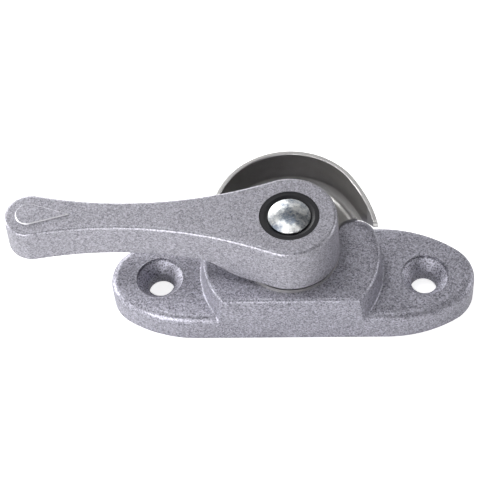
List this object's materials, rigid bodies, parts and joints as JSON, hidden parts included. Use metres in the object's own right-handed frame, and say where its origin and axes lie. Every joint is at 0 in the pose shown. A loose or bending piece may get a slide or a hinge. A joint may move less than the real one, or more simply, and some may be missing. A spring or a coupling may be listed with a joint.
{
  "type": "crescent window lock",
  "caption": "Crescent lock for a sliding window: a waisted lever turns a half-moon steel cam on an oblong base with countersunk screw holes.",
  "frame": {"origin": "midway between the two screw holes, on the seating face", "axes": "+X along the plate away from the locked lever, +Y towards the sash that the cam pulls in, +Z out of the window frame"},
  "size_m": [0.104, 0.0334, 0.0291],
  "materials": {
    "cast_paint": "silver-grey metallic powder coat",
    "lever_paint": "silver-grey metallic powder coat",
    "cam_steel": "polished drawn sheet",
    "ring_plastic": "black moulded nylon",
    "rivet_plating": "bright zinc plating",
    "bush_plastic": "natural acetal",
    "spring_steel": "blued spring steel",
    "washer_steel": "zinc-plated pressed steel"
  },
  "bodies": {
    "base": {"base_casting": "cast_paint", "pivot_bush": "bush_plastic", "spring_washer": "spring_steel", "thrust_washer": "washer_steel", "leaf_spring_front": "spring_steel", "leaf_spring_back": "spring_steel"},
    "lever": {"lever_handle": "lever_paint", "crescent_cam": "cam_steel", "pivot_ring": "ring_plastic", "pivot_rivet": "rivet_plating", "index_plate": "washer_steel", "stop_plate": "washer_steel", "retaining_washer": "washer_steel"}
  },
  "joints": [
    {"name": "handle_swing", "type": "hinge", "parent": "base", "child": "lever", "pos_m": [0, 0.0016, 0.0145], "axis": [0, 0, 1], "range_deg": [0, 180], "deforming": ["leaf_spring_front", "leaf_spring_back"]}
  ]
}
